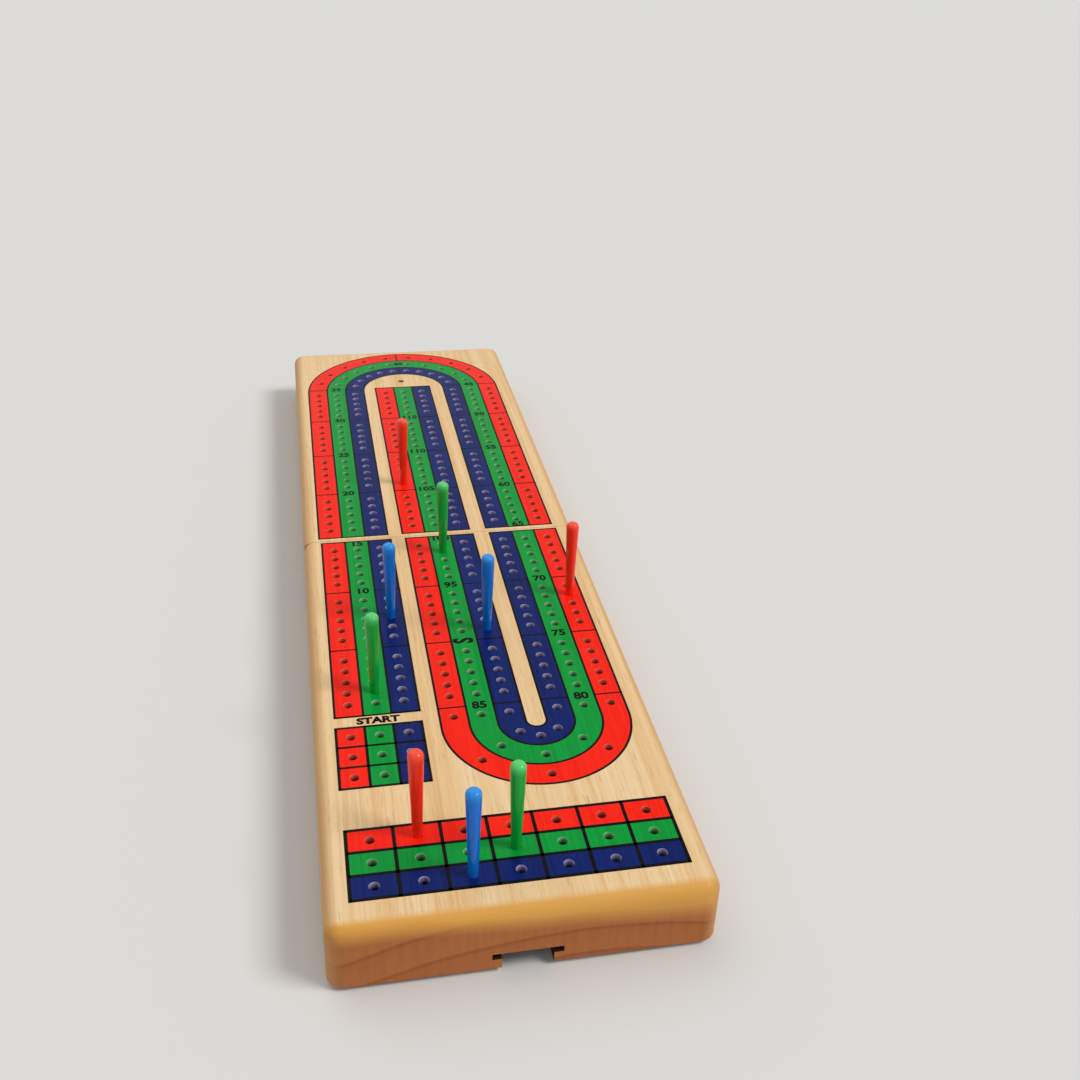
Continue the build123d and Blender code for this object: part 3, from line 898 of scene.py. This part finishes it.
def makeScrews(direction, node):
    face = board["underside"] + hinge["setback"]
    rise = screw["headRadius"] - screw["shankRadius"]
    heads = screwSpots(-1, direction) + screwSpots(1, direction)
    bm = bmesh.new()
    for x, y in heads:
        addRound(bm, screw["headRadius"], screw["shankRadius"], rise, x, y, face, 28)
        addRound(bm, screw["shankRadius"], screw["coreRadius"], screw["straight"] - rise, x, y,
                 face + rise, 20)
        addRound(bm, screw["coreRadius"], screw["tipRadius"], screw["tip"], x, y,
                 face + screw["straight"], 20)
    screws = addObject(pieceName(node), bm, [brass])
    for width, length in (screw["recess"], screw["recess"][::-1]):  # a cross in each head
        bm = bmesh.new()
        for x, y in heads:
            addBox(bm, width, length, 2 * screw["recessDepth"], x, y,
                   face - screw["recessDepth"])
        carve(screws, addObject("recess", bm, [brass]))
    settle(screws, bodyOf(direction), "screw_brass", node)


def makeMagnets(direction, node):
    bm = bmesh.new()
    y = direction * (halfLength - magnet["fromEnd"])
    for side in (-1, 1):
        addRound(bm, magnet["radius"], magnet["radius"], magnet["thickness"],
                 side * magnet["spacing"] / 2, y, board["underside"] + magnet["setback"], 40)
    bevelEdges(bm, ringEdges(bm, 2), magnet["edge"], 3)
    settle(addObject(pieceName(node), bm, [nickel]), bodyOf(direction), "magnet_nickel", node)


for name, half in halves.items():
    for side, hand in ((-1, "left"), (1, "right")):
        makeLeaf(side, half["way"], "hinge_" + hand + "_" + name + "_leaf")
    makeScrews(half["way"], "hinge_screws_" + name)
    makeMagnets(half["way"], name + "_magnets")
makePin(-1, "hinge_left_pin")
makePin(1, "hinge_right_pin")
print("hinges, screws and magnets let in")


drawer = {
    "body": 13.0, "flange": 18.1, "floor": 1.3, "flangeLow": 4.8, "brim": 6.4, "front": -178.0,
    "length": 131.2, "block": 10.0, "bay": 39.6, "wall": 0.8, "base": 0.6, "bays": 3,
    "keelRound": 0.5, "flangeCorner": 0.6, "bayCorner": 1.0, "bayFoot": 0.5, "bayTool": 8.0,
    "scoopRadius": 4.0, "scoopTop": 3.7, "ridge": 0.22, "ridgeInset": 1.2, "ridgeStep": 17,
}


def makeDrawerPlastic():
    # Injection-moulded black polypropylene with a fine spark-eroded texture
    material, tree, shader = newMaterial("blackPolypropylene", Roughness=0.5)
    noise = addNoise(tree, objectSpace(tree), (4.2, 4.2, 4.2), 2.0)
    tone = colourRamp(tree, noise, [(0.3, "#161617"), (0.7, "#232325")])
    finishShader(tree, shader, tone, noise, 0.25, 0.02)
    return material


def makeDrawer():
    plastic = makeDrawerPlastic()
    middle = drawer["front"] + drawer["length"] / 2
    bm = bmesh.new()
    addBox(bm, drawer["body"], drawer["length"], drawer["brim"] - drawer["floor"], 0, middle,
           drawer["floor"])
    bevelEdges(bm, edgesAt(bm, drawer["floor"]), drawer["keelRound"], 3)
    tray = addObject("pegDrawer", bm, [plastic])
    bm = bmesh.new()
    addBox(bm, drawer["flange"], drawer["length"], drawer["brim"] - drawer["flangeLow"], 0, middle,
           drawer["flangeLow"])
    bevelEdges(bm, uprightEdges(bm), drawer["flangeCorner"], 3)
    carve(tray, addObject("flanges", bm, [plastic]), "UNION")
    for bay in range(drawer["bays"]):
        start = drawer["front"] + drawer["block"] + bay * (drawer["bay"] + drawer["wall"])
        low = drawer["floor"] + drawer["base"]
        bm = bmesh.new()
        addBox(bm, drawer["body"] - 2 * drawer["wall"], drawer["bay"], drawer["bayTool"], 0,
               start + drawer["bay"] / 2, low)
        bevelEdges(bm, uprightEdges(bm), drawer["bayCorner"], 4)
        bevelEdges(bm, edgesAt(bm, low), drawer["bayFoot"], 3)
        carve(tray, addObject("well", bm, [plastic]))
    scoopY = drawer["front"] + drawer["block"] / 2
    scoopZ = drawer["scoopTop"] - drawer["scoopRadius"]
    bm = bmesh.new()
    addAlong(bm, drawer["scoopRadius"], drawer["body"] + 2 * beyond, 0, scoopY, scoopZ, 64)
    carve(tray, addObject("scoop", bm, [plastic]))
    for step in range(-2, 3):  # moulded ridges that the fingertip catches on
        angle = radians(90 + drawer["ridgeStep"] * step)
        bm = bmesh.new()
        addAlong(bm, drawer["ridge"], drawer["body"] - 2 * drawer["ridgeInset"], 0,
                 scoopY + drawer["scoopRadius"] * cos(angle),
                 scoopZ + drawer["scoopRadius"] * sin(angle), 12)
        carve(tray, addObject("ridge", bm, [plastic]), "UNION")
    settle(tray, "drawer", "drawer_plastic", "peg_drawer")


makeDrawer()
print("drawer moulded")


stage = {
    "backdrop": "#DCDBD8", "room": "#F4F4F6", "roomStrength": 0.5, "floorReach": 40.0,  # metres
    "lamps": (  # name, where it shines from, its width in degrees, and strength
        ("keyLamp", (0.75, -0.35, 0.95), 22, 1.7), ("fillLamp", (-0.5, 0.7, 1.1), 60, 0.5)),
    "camera": (-45.5, -397.8, 253.3), "forward": (0.17813, 0.84460, -0.50490),
    "right": (0.98168, -0.18777, 0.03225), "lens": 40.85, "sensor": 36.0,
}


def makeFloor():
    # Pale matt studio paper, seen through from below so that the undersides can be looked at
    bm = bmesh.new()
    bmesh.ops.create_grid(bm, x_segments=1, y_segments=1, size=stage["floorReach"])
    material, tree, shader = newMaterial(
        "studioPaper", Base_Color=linear(stage["backdrop"]), Roughness=0.8)
    behind = addNode(tree, "ShaderNodeNewGeometry").outputs["Backfacing"]
    looked = addNode(tree, "ShaderNodeLightPath").outputs["Is Camera Ray"]
    clear = addNode(tree, "ShaderNodeBsdfTransparent")
    mixed = addNode(tree, "ShaderNodeMixShader", {
        0: mathOf(tree, "MULTIPLY", behind, looked), 1: shader.outputs["BSDF"],
        2: clear.outputs["BSDF"]})
    tree.links.new(mixed.outputs["Shader"], tree.nodes["Material Output"].inputs["Surface"])
    floor = addObject("floor", bm, [material], recalculate=False)


def makeLamp(name, spot, width, strength):
    data = bpy.data.lights.new(name, "SUN")
    data.angle, data.energy = radians(width), strength
    lamp = bpy.data.objects.new(name, data)
    bpy.context.scene.collection.objects.link(lamp)
    lamp.location = spot
    lamp.rotation_euler = (-Vector(spot)).to_track_quat("-Z", "Y").to_euler()


def makeRoom():
    world = bpy.data.worlds.new("softRoom")
    bpy.context.scene.world = world
    world.use_nodes = True
    tree = world.node_tree
    room = tree.nodes["Background"]
    room.inputs["Color"].default_value = linear(stage["room"])
    room.inputs["Strength"].default_value = stage["roomStrength"]
    # what is looked at, mirrored or seen through is the backdrop's own colour
    paper = addNode(tree, "ShaderNodeBackground", {
        "Color": linear(stage["backdrop"]), "Strength": 1.0})
    path = addNode(tree, "ShaderNodeLightPath").outputs
    shiny = mathOf(tree, "ADD", path["Is Glossy Ray"], path["Is Transmission Ray"])
    seen = addNode(tree, "ShaderNodeMath", {0: path["Is Camera Ray"], 1: shiny},
                   operation="ADD", use_clamp=True)
    sky = addNode(tree, "ShaderNodeMixShader", {
        0: seen.outputs[0], 1: room.outputs["Background"], 2: paper.outputs["Background"]})
    tree.links.new(sky.outputs["Shader"], tree.nodes["World Output"].inputs["Surface"])


def makeCamera():
    forward = Vector(stage["forward"]).normalized()
    right = Vector(stage["right"])
    right = (right - forward * right.dot(forward)).normalized()
    up = right.cross(forward)
    data = bpy.data.cameras.new("camera")
    data.lens, data.sensor_width = stage["lens"], stage["sensor"]
    data.clip_start, data.clip_end = 0.02, 100
    camera = bpy.data.objects.new("camera", data)
    bpy.context.scene.collection.objects.link(camera)
    turned = Matrix((right, up, -forward)).transposed().to_4x4()
    camera.matrix_world = shiftBy(*stage["camera"]) @ turned
    bpy.context.scene.camera = camera


makeFloor()
for lamp in stage["lamps"]:
    makeLamp(*lamp)
makeRoom()
makeCamera()
bpy.context.scene.view_settings.view_transform = "Standard"
print("stage set")
